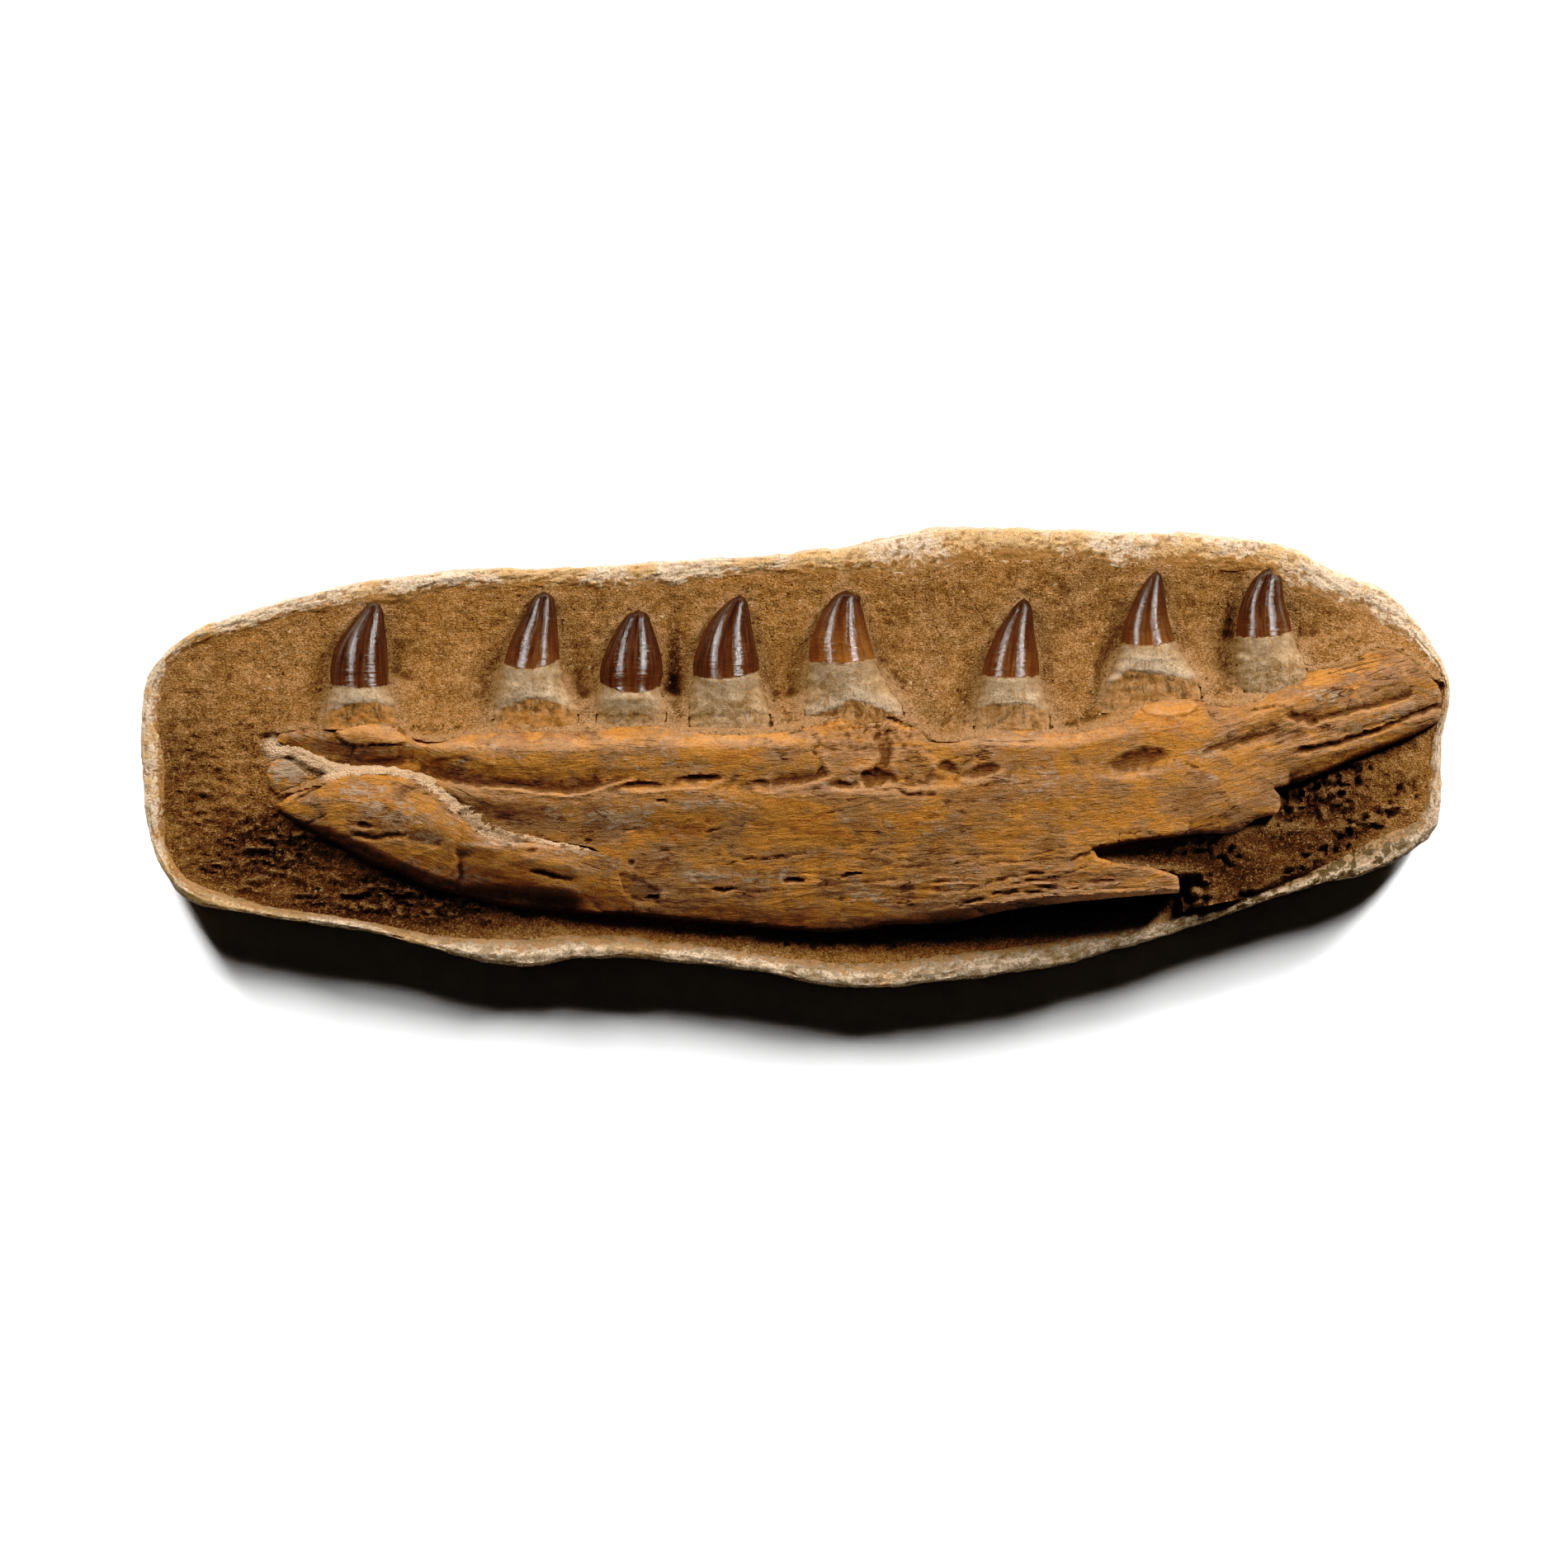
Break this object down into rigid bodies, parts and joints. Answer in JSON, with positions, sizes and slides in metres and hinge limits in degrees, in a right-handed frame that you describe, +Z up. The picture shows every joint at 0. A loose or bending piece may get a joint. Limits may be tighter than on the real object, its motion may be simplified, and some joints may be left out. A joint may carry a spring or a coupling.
{
  "type": "fossil mosasaur jaw fragment",
  "caption": "Fossil marine reptile lower jaw with a row of glossy conical teeth, lying in sandy matrix inside a plaster field jacket.",
  "frame": {"origin": "middle of the jacket's outline, on its flat resting face", "axes": "+X along the jaw towards its slender end, +Y the way the tooth tips point, +Z up out of the jacket"},
  "size_m": [0.6682, 0.2356, 0.068],
  "materials": {
    "plaster": "rough cream field plaster, stained ochre along the rim",
    "sandy_matrix": "coarse matt brown sandstone with scrape marks and grit",
    "fossil_bone": "orange-tan mineralised bone, satin, fibrous and cracked lengthwise",
    "tooth_enamel": "very glossy dark brown enamel crown on a matt grey-beige root"
  },
  "bodies": {
    "root": {"plaster_jacket": "plaster", "sandy_matrix": "sandy_matrix", "dentary_bone": "fossil_bone", "splenial_bone": "fossil_bone", "bone_chip": "fossil_bone", "tooth_1": "tooth_enamel", "tooth_2": "tooth_enamel", "tooth_3": "tooth_enamel", "tooth_4": "tooth_enamel", "tooth_5": "tooth_enamel", "tooth_6": "tooth_enamel", "tooth_7": "tooth_enamel", "tooth_8": "tooth_enamel"}
  },
  "joints": []
}
